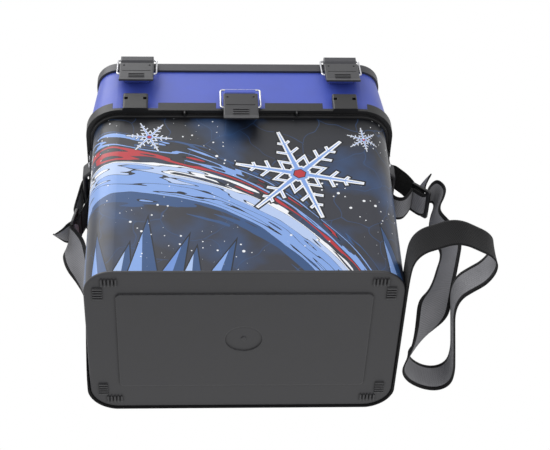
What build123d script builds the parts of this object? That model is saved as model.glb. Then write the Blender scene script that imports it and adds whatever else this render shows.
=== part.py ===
"""Two-section ice fishing box with draw latches and a webbing strap. Millimetres, front towards -Y."""
import os
from math import atan2, cos, hypot, radians, sin, tan
from build123d import *

os.makedirs("parts", exist_ok=True)

# Body: plan outline shared by base, wrap and collar
box_width = 385.0
box_depth = 252.0
corner_radius = 36.0
fit_gap = 0.3             # moulded pieces that sit in each other
run_gap = 0.05            # pins in their holes, on the radius

# Base tray
foot_height = 2.0
foot_width = 309.0
foot_depth = 171.0
foot_y = -3.3
foot_radius = 6.0
base_floor = 3.0
base_lip = 3.4
base_edge = 2.0
base_upstand = 22.0
upstand_wall = 3.0
gate_radius = 23.0
gate_depth = 1.4
gate_y = -8.0
gate_nub_radius = 3.0
gate_nub_height = 0.9
tread_pitch = 4.3
tread_width = 2.1
tread_length = 11.5
tread_count = 5
tread_inset = 16.5        # middle of a tread from the outline
tread_start = 22.0        # first tread from the outline's virtual corner

# Printed wall
wrap_thickness = 3.0
wrap_height = 275.6

# Collar
collar_overhang = 10.0
collar_flange = 4.0
collar_skirt = 5.0
skirt_wall = 3.2
collar_upstand = 12.0
rim_height = 11.0
rim_wall = 3.0
rim_cut = 6.0             # depth of the rim's notches
gusset_thickness = 2.0
gusset_sink = 0.5
gusset_x = 73.0
gusset_y = 60.0

# Lugs of the collar, front and back
lug_inset = 55.5          # middle of a lug from the side of the box
lug_width = 32.5
lug_height = 29.0         # above the flange's underside
lug_out = 14.0            # front face from the wall of the box
lug_depth = 9.0
lug_round = 2.5
lug_edge = 1.0
lug_hole = 4.6
lug_hole_x = 12.2
lug_hole_drop = 9.5
lug_hole_depth = 5.0
lug_notch = 59.0
latch_notch = 64.0

# Upper section, one tapered tub
tub_gap = 0.3
tub_grow = 1.5
tub_foot = 10.7           # upright part of the wall
tub_rise = 84.0           # leaning part
tub_lean = 6.5
tub_side = 5.0            # wider at the ends than at the front
tub_wall = 3.5
tub_floor = 3.0

# Lid and seat
lid_gap = 0.4
lid_overhang = 3.0
lid_height = 16.6
lid_wall = 3.0
lid_plate = 3.0
lid_edge = 4.0
lid_rib_drop = 4.0
lid_rib_wall = 2.2
lid_rib_gap = 1.0
stiffener_height = 6.0
stiffener_wall = 2.0
stiffener_x = 95.0
stiffener_y = 48.0
pad_thickness = 10.0
pad_inset = 14.0
pad_edge = 4.0

# Hinges
hinge_pin_radius = 2.5
knuckle_width = 10.0
knuckle_gap = 0.5
section_hinge_out = 12.0  # pin from the wall of the box
section_hinge_rise = 22.0 # pin above the top of that wall
section_barrel = 6.0
lid_hinge_out = 12.0      # pin from the tub's upper edge
lid_hinge_rise = 8.0
lid_barrel = 5.5
lid_lug_shoulder = 9.0    # heights of the lid lug below its pin
lid_lug_toe = 23.0
lid_lug_root = 27.0
lid_lug_taper = 9.0

# Draw latches: v points out of the wall, w up along it, both from the lever's pivot
latch_width = 45.0
latch_cheek = 5.7
latch_top = 3.5
latch_bottom = -47.5
latch_face = 6.8
latch_plate = 2.5
latch_lip = 1.6
latch_lip_start = -40.0
latch_edge = 1.0
latch_round = 1.4
latch_pin_radius = 2.0
post_radius = 4.0
post_gap = 0.8            # post from the lever's cheeks
lid_post_low = 16.0       # web of a lid latch's post, below its pin
lid_post_web = 5.0
cheek_margin = 2.0        # cheek behind its pin
cheek_chamfer = 1.4
cheek_heel = 5.0
cheek_step = 8.0          # cheek above and below the bail's hole
cheek_tail = 4.0
cheek_wall = 1.5          # cheek behind the bail's hole
cheek_end = 1.7
bail_v = 0.5
bail_w = -18.0
wire_radius = 1.3
bail_side = 3.5           # leg from the lever's side
bail_tuck = 4.5           # turned-in end inside the lever's side
bail_bend = 3.2
bail_rest = 0.3           # wire above its keeper
grip_width = 21.0
grip_height = 0.8
grip_pitch = 4.2
grip_thick = 1.5
grip_start = 1.0
grip_count = 3
step_w = -20.0
step_margin = 3.5
step_width = 1.2
step_depth = 0.7
dot_radius = 1.4
dot_depth = 0.9
dot_inset = 5.5
dot_w = -4.5

# Places of the latches: out from the wall that carries them, up from the joint line below
centre_pivot_out = 13.0
centre_pivot_rise = 20.0
centre_bar_out = 10.0
centre_keeper_rise = 10.0
centre_keeper_height = 14.0
centre_keeper_out = 12.6
centre_keeper_lip = 6.0
centre_keeper_heel = 2.0
centre_keeper_root = 4.0
centre_keeper_gap = 4.7   # keeper from the bail's legs
lid_pivot_out = 13.1
lid_pivot_drop = 7.5
lid_latch_lean = 12.0
lid_bar_out = 6.7
lid_keeper_rise = 1.6
lid_keeper_height = 12.5
lid_keeper_out = 13.1
lid_keeper_chamfer = 3.5
lid_keeper_edge = 1.0
lid_keeper_round = 2.0
lid_keeper_gap = 2.7

# Strap brackets
bow_drop = 24.0           # middle of the bow below the top of the wall
bow_height = 24.0
bow_thickness = 5.0
bow_round = 2.3
bow_out = 12.8            # middle of the bar from the wall
bow_half = 48.0
bow_foot = 76.0
bow_bend = 5.0
rivet_y = 67.0
rivet_z = 6.5
rivet_radius = 2.0
rivet_head = 4.0
rivet_head_height = 1.4

# Webbing
strap_width = 40.0
strap_thickness = 2.0
strap_lift = 0.3
slider_length = 30.0
slider_width = 50.0
slider_thickness = 4.0
slider_slot = 7.0
slider_bar = 5.0
slider_corner = 4.0
slider_play = 2.0         # slot longer than the strap is wide
slider_slot_round = 2.0
slider_edge = 1.2
slide_right = -26.0       # where the loop lies along its bow
slide_left = 0.0
slider_right = (240.0, 226.0, -41.5)
slider_left = (-217.0, 200.0, -101.9)
loop_right = [(230.0, 238.4), (209.5, 270.4), (201.5, 270.4), (201.5, 243.6), (226.9, 234.6)]
loop_left = [(-215.4, 215.4), (-209.1, 270.4), (-201.5, 270.4), (-201.5, 240.0), (-212.3, 215.9)]
run_right = [(244.4, 231.3), (254.0, 238.0), (264.0, 230.0), (261.0, 208.0), (264.0, 184.0), (270.0, 160.0),
             (269.0, 135.0), (263.0, 110.0), (250.0, 80.0), (235.0, 56.0), (228.0, 41.3)]
run_left = [(-199.5, 41.3), (-201.0, 70.0), (-209.0, 97.0), (-220.0, 122.0), (-228.0, 147.0),
            (-227.0, 168.0), (-221.2, 184.6)]
floor_route = [(229.0, -40.0), (224.0, 0.0), (212.0, 40.0), (210.0, 78.0), (231.0, 99.0), (255.0, 100.0),
               (272.0, 74.0), (267.0, 34.0), (259.0, -6.0), (255.0, -46.0), (262.0, -82.0), (284.0, -100.0),
               (299.0, -124.0), (293.0, -156.0), (268.0, -180.0), (238.0, -184.0), (209.0, -172.0),
               (198.0, -144.0), (199.0, -108.0), (203.0, -60.0), (204.0, -8.0), (203.0, 44.0), (198.0, 95.0),
               (184.0, 133.0), (146.0, 151.0), (88.0, 154.0), (30.0, 155.5), (-30.0, 155.5), (-88.0, 154.0),
               (-146.0, 151.0), (-184.0, 133.0), (-198.0, 95.0), (-203.0, 50.0), (-202.0, 14.0),
               (-199.5, -14.0)]

# Levels that follow from the sizes above
half_x = box_width / 2
half_y = box_depth / 2
lip_top = foot_height + base_lip
floor_top = foot_height + base_floor
wrap_top = lip_top + wrap_height
flange_top = wrap_top + collar_flange
rim_top = flange_top + rim_height
tub_bottom = flange_top + tub_gap
tub_knee = tub_bottom + tub_foot
tub_top = tub_knee + tub_rise
tub_top_grow = tub_grow - tub_rise * tan(radians(tub_lean))
lid_bottom = tub_top + lid_gap
lid_top = lid_bottom + lid_height
lid_grow = tub_top_grow + lid_overhang
inside_grow = -wrap_thickness - fit_gap
tub_face = half_y + tub_top_grow
bow_z = wrap_top - bow_drop
lug_x = half_x - lug_inset
lug_top = wrap_top + lug_height
lug_front = half_y + lug_out
lug_back = lug_front - lug_depth
hinge_length = lug_width + 2 * (knuckle_gap + knuckle_width)
section_hinge_y = half_y + section_hinge_out
section_hinge_z = wrap_top + section_hinge_rise
lid_hinge_y = tub_face + lid_hinge_out
lid_hinge_z = tub_top + lid_hinge_rise
post_width = latch_width - 2 * latch_cheek - 2 * post_gap
bail_half = latch_width / 2 + bail_side
bail_end = latch_width / 2 - bail_tuck
centre_pivot_y = -half_y - centre_pivot_out
centre_pivot_z = wrap_top + centre_pivot_rise
centre_bar_y = -half_y - centre_bar_out
centre_keeper_low = tub_knee + centre_keeper_rise
centre_keeper_top = centre_keeper_low + centre_keeper_height
centre_keeper_front = -half_y - centre_keeper_out
centre_keeper_width = 2 * (bail_half - wire_radius - centre_keeper_gap)
lid_pivot_y = -tub_face - lid_pivot_out
lid_pivot_z = tub_top - lid_pivot_drop
lid_bar_y = -tub_face - lid_bar_out
lid_keeper_low = lid_bottom + lid_keeper_rise
lid_keeper_top = lid_keeper_low + lid_keeper_height
lid_keeper_front = -half_y - lid_grow - lid_keeper_out
lid_keeper_width = 2 * (bail_half - wire_radius - lid_keeper_gap)


def outline(grow, mode=Mode.ADD, side=0.0):
    RectangleRounded(box_width + 2 * (grow + side), box_depth + 2 * grow, corner_radius + grow, mode=mode)


def frame(outer, inner, side=0.0):
    outline(outer, side=side)
    outline(inner, mode=Mode.SUBTRACT, side=side)


def bend_radii(points):
    """One radius per inner point, as large as the shorter of its two runs allows."""
    radii = []
    for a, b, c in zip(points, points[1:], points[2:]):
        first = hypot(b[0] - a[0], b[1] - a[1])
        second = hypot(c[0] - b[0], c[1] - b[1])
        turn = atan2(c[1] - b[1], c[0] - b[0]) - atan2(b[1] - a[1], b[0] - a[0])
        turn = abs(atan2(sin(turn), cos(turn)))
        radii.append(0.45 * min(first, second) / tan(turn / 2))
    return radii


def latch_plane(x, pivot_y, pivot_z, lean):
    """Section plane of a latch: its first direction points out of the wall, its second up along it."""
    out = (0, -cos(radians(lean)), sin(radians(lean)))
    return Plane(origin=(x, pivot_y, pivot_z), x_dir=out, z_dir=(-1, 0, 0))


def latch_post(x, pivot_y, pivot_z, lean, reach, low, web_top):
    """Seat of a lever: an upright post round the pin and the web that joins it to the wall."""
    with BuildSketch(latch_plane(x, pivot_y, pivot_z, lean)) as post:
        Circle(post_radius)
        with BuildLine():
            Polyline((post_radius, 0), (-post_radius, 0), (-post_radius, web_top), (reach, web_top),
                     (reach, low), (post_radius, low), close=True)
        make_face()
    extrude(post.sketch, amount=post_width / 2, both=True)


def pin_hole(plane, radius, length):
    with BuildSketch(plane) as hole:
        Circle(radius)
    extrude(hole.sketch, amount=length / 2, both=True, mode=Mode.SUBTRACT)


def cross_plane(x, y, z):
    """Section plane across the X direction: first direction +Y, second +Z."""
    return Plane(origin=(x, y, z), x_dir=(0, 1, 0), z_dir=(1, 0, 0))


def save(piece, name):
    piece.label = name
    export_step(piece, "parts/" + name + ".step")
    print(name, "volume", round(piece.volume), "solids", len(piece.solids()))


# Base tray
with BuildPart() as base_tray:
    with BuildSketch(Plane.XY.offset(foot_height)):
        outline(0)
    extrude(amount=base_lip)
    fillet(base_tray.edges().group_by(Axis.Z)[0], base_edge)
    with BuildSketch(Plane.XY.offset(lip_top)):
        outline(inside_grow)
    extrude(amount=base_upstand)
    with BuildSketch(Plane.XY.offset(floor_top)):
        outline(inside_grow - upstand_wall)
    extrude(amount=base_upstand + base_lip, mode=Mode.SUBTRACT)
    with BuildSketch():
        with Locations((0, foot_y)):
            RectangleRounded(foot_width, foot_depth, foot_radius)
    extrude(amount=foot_height)
    with BuildSketch():
        with Locations((0, gate_y)):
            Circle(gate_radius)
    extrude(amount=gate_depth, mode=Mode.SUBTRACT)
    with BuildSketch(Plane.XY.offset(gate_depth - gate_nub_height)):
        with Locations((0, gate_y)):
            Circle(gate_nub_radius)
    extrude(amount=gate_nub_height)
    with BuildSketch():
        for sx in (-1, 1):
            for sy in (-1, 1):
                for i in range(tread_count):
                    along = tread_start + i * tread_pitch
                    with Locations((sx * (half_x - along), sy * (half_y - tread_inset))):
                        Rectangle(tread_width, tread_length)
                    with Locations((sx * (half_x - tread_inset), sy * (half_y - along - tread_length / 2))):
                        Rectangle(tread_length, tread_width)
    extrude(amount=foot_height)
save(base_tray.part, "base_tray")

# Printed wall with the rivet holes of the brackets
with BuildPart() as body_wrap:
    with BuildSketch(Plane.XY.offset(lip_top)):
        frame(0, -wrap_thickness)
    extrude(amount=wrap_height)
    with BuildSketch(Plane.YZ):
        with Locations([(sy * rivet_y, bow_z + sz * rivet_z) for sy in (-1, 1) for sz in (-1, 1)]):
            Circle(rivet_radius + run_gap)
    extrude(amount=box_width, both=True, mode=Mode.SUBTRACT)
save(body_wrap.part, "body_wrap")

# Collar
with BuildPart() as collar:
    with BuildSketch(Plane.XY.offset(wrap_top)):
        frame(collar_overhang, inside_grow - upstand_wall)
    extrude(amount=collar_flange)
    with BuildSketch(Plane.XY.offset(wrap_top - collar_upstand)):
        frame(inside_grow, inside_grow - upstand_wall)
    extrude(amount=collar_upstand)
    with BuildSketch(Plane.XY.offset(wrap_top - collar_skirt)):
        frame(fit_gap + skirt_wall, fit_gap)
    extrude(amount=collar_skirt)
    with BuildSketch(Plane.XY.offset(flange_top)):
        frame(collar_overhang, collar_overhang - rim_wall)
        for x in (-lug_x, lug_x):
            with Locations((x, -half_y - collar_overhang), (x, half_y + collar_overhang)):
                Rectangle(lug_notch, 2 * rim_cut, mode=Mode.SUBTRACT)
        with Locations((0, -half_y - collar_overhang)):
            Rectangle(latch_notch, 2 * rim_cut, mode=Mode.SUBTRACT)
    extrude(amount=rim_height)
    with BuildSketch(Plane.XY.offset(wrap_top - collar_skirt)):
        gusset = collar_overhang - fit_gap - skirt_wall
        middle = fit_gap + skirt_wall + gusset / 2 - gusset_sink
        for sx in (-1, 1):
            for sy in (-1, 1):
                with Locations((sx * gusset_x, sy * (half_y + middle))):
                    Rectangle(gusset_thickness, gusset)
                with Locations((sx * (half_x + middle), sy * gusset_y)):
                    Rectangle(gusset, gusset_thickness)
    extrude(amount=collar_skirt)
    for x in (-lug_x, lug_x):
        with BuildSketch(Plane.XY.offset(wrap_top)) as lug_plan:
            with Locations((x, -(lug_front + lug_back) / 2)):
                Rectangle(lug_width, lug_front - lug_back)
            fillet(lug_plan.vertices().group_by(Axis.Y)[0], lug_round)
        extrude(amount=lug_height)
        with BuildSketch(Plane.XZ.offset(lug_front)):
            hole_z = lug_top - lug_hole_drop
            with Locations((x - lug_hole_x, hole_z), (x + lug_hole_x, hole_z)):
                Rectangle(lug_hole, lug_hole)
        extrude(amount=-lug_hole_depth, mode=Mode.SUBTRACT)
        with BuildSketch(cross_plane(x, section_hinge_y, section_hinge_z)):
            Circle(section_barrel)
            with Locations((0, (wrap_top - section_hinge_z) / 2)):
                Rectangle(2 * section_barrel, section_hinge_z - wrap_top)
        extrude(amount=lug_width / 2, both=True)
        hinge_plane = cross_plane(x, section_hinge_y, section_hinge_z)
        pin_hole(hinge_plane, hinge_pin_radius + run_gap, hinge_length)
    post_low = wrap_top - centre_pivot_z
    latch_post(0, centre_pivot_y, centre_pivot_z, 0, centre_pivot_y + half_y + collar_overhang / 2, post_low,
               flange_top - centre_pivot_z)
    pin_hole(latch_plane(0, centre_pivot_y, centre_pivot_z, 0), latch_pin_radius + run_gap, post_width * 2)
save(collar.part, "collar")

# Upper section: tapered tub with floor, latch seats, keeper lug and hinge knuckles
with BuildPart() as section_tub:
    with BuildSketch(Plane.XY.offset(tub_bottom)):
        outline(tub_grow, side=tub_side)
    extrude(amount=tub_foot)
    with BuildSketch(Plane.XY.offset(tub_knee)):
        outline(tub_grow, side=tub_side)
    with BuildSketch(Plane.XY.offset(tub_top)):
        outline(tub_top_grow, side=tub_side)
    loft()
    for x in (-lug_x, lug_x):
        latch_post(x, lid_pivot_y, lid_pivot_z, lid_latch_lean, -lid_pivot_out - tub_wall / 2, -lid_post_low,
                   -lid_post_web)
        pivot_plane = latch_plane(x, lid_pivot_y, lid_pivot_z, lid_latch_lean)
        pin_hole(pivot_plane, latch_pin_radius + run_gap, post_width * 2)
        for side in (-1, 1):
            at = x + side * (lug_width / 2 + knuckle_gap + knuckle_width / 2)
            knuckle_plane = cross_plane(at, section_hinge_y, section_hinge_z)
            reach = section_hinge_out + tub_wall / 2
            with BuildSketch(knuckle_plane):
                Circle(section_barrel)
                with Locations((-reach / 2, 0)):
                    Rectangle(reach, 2 * section_barrel)
            extrude(amount=knuckle_width / 2, both=True)
            pin_hole(knuckle_plane, hinge_pin_radius + run_gap, 2 * knuckle_width)
        with BuildSketch(cross_plane(x, lid_hinge_y, lid_hinge_z)):
            Circle(lid_barrel)
            with BuildLine():
                root = -lid_hinge_out - tub_wall / 2
                Polyline((lid_barrel, 0), (lid_barrel, -lid_lug_shoulder),
                         (lid_lug_taper - lid_hinge_out, -lid_lug_toe), (root, -lid_lug_root),
                         (root, -lid_hinge_rise), (-lid_barrel, -lid_hinge_rise), (-lid_barrel, 0), close=True)
            make_face()
        extrude(amount=lug_width / 2, both=True)
        pin_hole(cross_plane(x, lid_hinge_y, lid_hinge_z), hinge_pin_radius + run_gap, hinge_length)
    with BuildSketch(cross_plane(0, 0, 0)):
        with BuildLine():
            root = -half_y + centre_keeper_root
            Polyline((root, centre_keeper_top), (centre_keeper_front, centre_keeper_top),
                     (centre_keeper_front, centre_keeper_top - centre_keeper_lip),
                     (-half_y - centre_keeper_heel, centre_keeper_low), (root, centre_keeper_low), close=True)
        make_face()
    extrude(amount=centre_keeper_width / 2, both=True)
    with BuildSketch(Plane.XY.offset(tub_bottom + tub_floor)):
        outline(tub_grow - tub_wall, side=tub_side)
    extrude(amount=tub_foot - tub_floor, mode=Mode.SUBTRACT)
    with BuildSketch(Plane.XY.offset(tub_knee)):
        outline(tub_grow - tub_wall, side=tub_side)
    with BuildSketch(Plane.XY.offset(tub_top)):
        outline(tub_top_grow - tub_wall, side=tub_side)
    loft(mode=Mode.SUBTRACT)
save(section_tub.part, "section_tub")

# Lid: hollow shell with locating rib, stiffeners, keepers and hinge knuckles
with BuildPart() as lid_shell:
    with BuildSketch(Plane.XY.offset(lid_bottom)):
        outline(lid_grow, side=tub_side)
    extrude(amount=lid_height)
    fillet(lid_shell.edges().group_by(Axis.Z)[-1], lid_edge)
    with BuildSketch(Plane.XY.offset(lid_bottom)):
        outline(lid_grow - lid_wall, side=tub_side)
    extrude(amount=lid_height - lid_plate, mode=Mode.SUBTRACT)
    rib_grow = tub_top_grow - tub_wall - lid_rib_gap
    with BuildSketch(Plane.XY.offset(lid_bottom - lid_rib_drop)):
        frame(rib_grow, rib_grow - lid_rib_wall, side=tub_side)
    extrude(amount=lid_rib_drop + lid_height - lid_plate)
    with BuildSketch(Plane.XY.offset(lid_top - lid_plate - stiffener_height)):
        with Locations((0, -stiffener_y), (0, stiffener_y)):
            Rectangle(box_width + 2 * (rib_grow + tub_side) - lid_rib_wall, stiffener_wall)
        with Locations((-stiffener_x, 0), (0, 0), (stiffener_x, 0)):
            Rectangle(stiffener_wall, box_depth + 2 * rib_grow - lid_rib_wall)
    extrude(amount=stiffener_height)
    rim_face = half_y + lid_grow - lid_wall / 2
    for x in (-lug_x, lug_x):
        with BuildSketch(cross_plane(x, 0, 0)):
            with BuildLine():
                Polyline((-rim_face, lid_keeper_low), (lid_keeper_front + lid_keeper_chamfer, lid_keeper_low),
                         (lid_keeper_front, lid_keeper_low + lid_keeper_chamfer),
                         (lid_keeper_front, lid_keeper_top - lid_keeper_edge),
                         (lid_keeper_front + lid_keeper_edge, lid_keeper_top), (-rim_face, lid_keeper_top),
                         close=True)
            make_face()
        extrude(amount=lid_keeper_width / 2, both=True)
        fillet(lid_shell.edges().filter_by(Axis.Z).group_by(Axis.Y)[0], lid_keeper_round)
        for side in (-1, 1):
            at = x + side * (lug_width / 2 + knuckle_gap + knuckle_width / 2)
            knuckle_plane = cross_plane(at, lid_hinge_y, lid_hinge_z)
            with BuildSketch(knuckle_plane):
                Circle(lid_barrel)
                with Locations(((rim_face - lid_hinge_y) / 2, 0)):
                    Rectangle(lid_hinge_y - rim_face, 2 * lid_barrel)
            extrude(amount=knuckle_width / 2, both=True)
            pin_hole(knuckle_plane, hinge_pin_radius + run_gap, 2 * knuckle_width)
save(lid_shell.part, "lid_shell")

# Foam seat
with BuildPart() as seat_pad:
    with BuildSketch(Plane.XY.offset(lid_top)):
        outline(lid_grow - pad_inset, side=tub_side)
    extrude(amount=pad_thickness)
    fillet(seat_pad.edges().group_by(Axis.Z)[-1], pad_edge)
save(seat_pad.part, "seat_pad")


def pins(places, radius, length):
    for x, y, z in places:
        with BuildSketch(cross_plane(x, y, z)) as pin:
            Circle(radius)
        extrude(pin.sketch, amount=length / 2, both=True)


with BuildPart() as section_hinge_pins:
    pins([(x, section_hinge_y, section_hinge_z) for x in (-lug_x, lug_x)], hinge_pin_radius, hinge_length)
save(section_hinge_pins.part, "section_hinge_pins")

with BuildPart() as lid_hinge_pins:
    pins([(x, lid_hinge_y, lid_hinge_z) for x in (-lug_x, lug_x)], hinge_pin_radius, hinge_length)
save(lid_hinge_pins.part, "lid_hinge_pins")

with BuildPart() as centre_latch_pin:
    pins([(0, centre_pivot_y, centre_pivot_z)], latch_pin_radius, latch_width)
save(centre_latch_pin.part, "centre_latch_pin")

with BuildPart() as lid_latch_pins:
    pins([(x, lid_pivot_y, lid_pivot_z) for x in (-lug_x, lug_x)], latch_pin_radius, latch_width)
save(lid_latch_pins.part, "lid_latch_pins")


def make_lever(x, pivot_y, pivot_z, lean, name):
    """Lever: face plate with a turned-out lip, two cheeks, pin and bail holes, step, dots and grips."""
    plane = latch_plane(x, pivot_y, pivot_z, lean)
    back = latch_face - latch_plate
    with BuildPart() as lever:
        with BuildSketch(plane):
            with BuildLine():
                Polyline((latch_face - latch_edge, latch_top), (latch_face, latch_top - latch_edge),
                         (latch_face, latch_lip_start), (latch_face + latch_lip, latch_bottom),
                         (back + latch_lip, latch_bottom), (back, latch_lip_start), (back, latch_top),
                         close=True)
            make_face()
        extrude(amount=latch_width / 2, both=True)
        upright = lever.edges().filter_by(Axis(plane.origin, plane.y_dir))
        fillet(upright.sort_by(Axis(plane.origin, plane.x_dir))[-2:], latch_round)
        rear = -latch_pin_radius - cheek_margin
        waist = bail_v - wire_radius - cheek_wall
        for side in (-1, 1):
            at = side * (latch_width - latch_cheek) / 2
            cheek_at = plane.origin + Vector(at, 0, 0)
            with BuildSketch(Plane(origin=cheek_at, x_dir=plane.x_dir, z_dir=plane.z_dir)):
                with BuildLine():
                    Polyline((back, latch_top), (rear + cheek_chamfer, latch_top),
                             (rear, latch_top - cheek_chamfer), (rear, -cheek_heel), (waist, bail_w + cheek_step),
                             (waist, bail_w - cheek_tail), (back - cheek_end, latch_lip_start),
                             (back, latch_lip_start), close=True)
                make_face()
            extrude(amount=latch_cheek / 2, both=True)
            edge_plane = Plane(origin=plane.origin + Vector(side * latch_width / 2, 0, 0), x_dir=plane.x_dir,
                               z_dir=plane.z_dir)
            with BuildSketch(edge_plane):
                with Locations((bail_v, bail_w)):
                    Circle(wire_radius + run_gap)
            extrude(amount=side * (latch_width / 2 - bail_end + fit_gap), mode=Mode.SUBTRACT)
        pin_hole(plane, latch_pin_radius + run_gap, latch_width * 2)
        face = Plane(origin=plane.origin + plane.x_dir * latch_face, x_dir=(1, 0, 0), z_dir=plane.x_dir)
        with BuildSketch(face):
            dot_x = latch_width / 2 - dot_inset
            with Locations((-dot_x, dot_w), (dot_x, dot_w)):
                Circle(dot_radius)
        extrude(amount=-dot_depth, mode=Mode.SUBTRACT)
        with BuildSketch(face):
            with Locations((0, step_w)):
                Rectangle(latch_width - 2 * step_margin, step_width)
        extrude(amount=-step_depth, mode=Mode.SUBTRACT)
        for i in range(grip_count):
            with BuildSketch(Plane(origin=face.origin, x_dir=face.x_dir, z_dir=face.z_dir)):
                with Locations((0, latch_lip_start + grip_start + (i + 0.5) * grip_pitch)):
                    SlotOverall(grip_width, grip_thick)
            extrude(amount=grip_height)
    save(lever.part, name)


def make_bail(x, pivot_y, pivot_z, lean, bar_y, keeper_top, name):
    """Wire bail: turned-in ends in the lever's cheeks, two legs and the bar over the keeper."""
    plane = latch_plane(x, pivot_y, pivot_z, lean)
    start = plane.from_local_coords(Vector(bail_v, bail_w, 0))
    bar = Vector(x, bar_y, keeper_top + bail_rest + wire_radius)
    leg = bar - start
    legs = Plane(origin=start, x_dir=(1, 0, 0), z_dir=Vector(1, 0, 0).cross(leg.normalized()))
    with BuildPart() as bail:
        with BuildLine(legs) as wire:
            FilletPolyline((-bail_end, 0), (-bail_half, 0), (-bail_half, leg.length), (bail_half, leg.length),
                           (bail_half, 0), (bail_end, 0), radius=bail_bend)
        with BuildSketch(Plane(origin=wire.line @ 0, z_dir=wire.line % 0)):
            Circle(wire_radius)
        sweep(path=wire.line)
    save(bail.part, name)
    print(name, "leg", round(leg.length, 1), "pivot", [round(v, 4) for v in start])


make_lever(0, centre_pivot_y, centre_pivot_z, 0, "centre_lever")
make_bail(0, centre_pivot_y, centre_pivot_z, 0, centre_bar_y, centre_keeper_top, "centre_bail")
make_lever(-lug_x, lid_pivot_y, lid_pivot_z, lid_latch_lean, "left_lever")
make_bail(-lug_x, lid_pivot_y, lid_pivot_z, lid_latch_lean, lid_bar_y, lid_keeper_top, "left_bail")
make_lever(lug_x, lid_pivot_y, lid_pivot_z, lid_latch_lean, "right_lever")
make_bail(lug_x, lid_pivot_y, lid_pivot_z, lid_latch_lean, lid_bar_y, lid_keeper_top, "right_bail")


def make_bracket(side, name):
    """Bow on a side wall: a rounded bar swept along feet, bends and the straight middle."""
    foot = half_x + bow_thickness / 2
    bar = half_x + bow_out
    slope = bar - foot
    with BuildPart() as bracket:
        with BuildLine(Plane.XY.offset(bow_z)) as route:
            FilletPolyline((side * foot, -bow_foot), (side * foot, -bow_half - slope),
                           (side * bar, -bow_half), (side * bar, bow_half),
                           (side * foot, bow_half + slope), (side * foot, bow_foot), radius=bow_bend)
        with BuildSketch(Plane(origin=route.line @ 0, x_dir=(1, 0, 0), z_dir=route.line % 0)):
            RectangleRounded(bow_thickness, bow_height, bow_round)
        sweep(path=route.line)
        with BuildSketch(Plane.YZ.offset(side * half_x)):
            with Locations([(sy * rivet_y, bow_z + sz * rivet_z) for sy in (-1, 1) for sz in (-1, 1)]):
                Circle(rivet_radius + run_gap)
        extrude(amount=side * bow_thickness * 1.5, mode=Mode.SUBTRACT)
    save(bracket.part, name)


make_bracket(-1, "strap_bracket_left")
make_bracket(1, "strap_bracket_right")

with BuildPart() as bracket_rivets:
    for side in (-1, 1):
        places = [(sy * rivet_y, bow_z + sz * rivet_z) for sy in (-1, 1) for sz in (-1, 1)]
        with BuildSketch(Plane.YZ.offset(side * (half_x - wrap_thickness))):
            with Locations(places):
                Circle(rivet_radius)
        extrude(amount=side * (wrap_thickness + bow_thickness))
        with BuildSketch(Plane.YZ.offset(side * (half_x + bow_thickness))):
            with Locations(places):
                Circle(rivet_head)
        extrude(amount=side * rivet_head_height)
        with BuildSketch(Plane.YZ.offset(side * (half_x - wrap_thickness))):
            with Locations(places):
                Circle(rivet_head)
        extrude(amount=-side * rivet_head_height)
save(bracket_rivets.part, "bracket_rivets")


def band(route, radii, plane, across, name):
    """Webbing along straight runs and tangent arcs in one plane, as wide as the strap across that plane."""
    with BuildPart() as piece:
        with BuildSketch(plane):
            with BuildLine() as line:
                FilletPolyline(*route, radius=radii)
            trace(line_width=strap_thickness)
        if across:
            extrude(amount=strap_width / 2, both=True)
        else:
            extrude(amount=strap_width)
    save(piece.part, name)
    length = sum(edge.length for edge in line.edges())
    print(name, "length", round(length), "volume by section", round(length * strap_thickness * strap_width))
    print(name, "radii", [round(r, 1) for r in radii])


fold = (loop_right[1][0] - loop_right[2][0]) / 2
right_plane = Plane.XZ.offset(-slide_right)
left_plane = Plane.XZ.offset(-slide_left)
band(loop_right, [fold - 0.2, fold - 0.2, fold - 0.2], right_plane, True, "strap_loop_right")
fold_left = (loop_left[2][0] - loop_left[1][0]) / 2
band(loop_left, [fold_left - 0.1, fold_left - 0.1, bend_radii(loop_left)[2]], left_plane, True,
     "strap_loop_left")
band(run_right, bend_radii(run_right), right_plane, True, "strap_run_right")
band(run_left, bend_radii(run_left), left_plane, True, "strap_run_left")
band(floor_route, bend_radii(floor_route), Plane.XY.offset(strap_lift), False, "strap_floor")


def make_slider(place, y, name):
    """Three-bar slider, its long side across the strap."""
    x, z, tilt = place
    along = (cos(radians(tilt)), 0, sin(radians(tilt)))
    plane = Plane(origin=(x, y, z), x_dir=along, z_dir=(-sin(radians(tilt)), 0, cos(radians(tilt))))
    with BuildPart() as slider:
        with BuildSketch(plane):
            RectangleRounded(slider_length, slider_width, slider_corner)
            offset_x = (slider_bar + slider_slot) / 2
            with Locations((-offset_x, 0), (offset_x, 0)):
                RectangleRounded(slider_slot, strap_width + slider_play, slider_slot_round,
                                 mode=Mode.SUBTRACT)
        extrude(amount=slider_thickness / 2, both=True)
        outer = slider.edges().filter_by(Axis.Y).sort_by_distance((x, y, z))[-4:]
        fillet(outer, slider_edge)
    save(slider.part, name)


make_slider(slider_right, slide_right, "slider_right")
make_slider(slider_left, slide_left, "slider_left")
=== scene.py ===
"""Looks of a two-section ice fishing box: mouldings, printed wall, latches, strap and seat."""
import math

import bmesh
import bpy
from mathutils import Matrix, Vector


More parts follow.
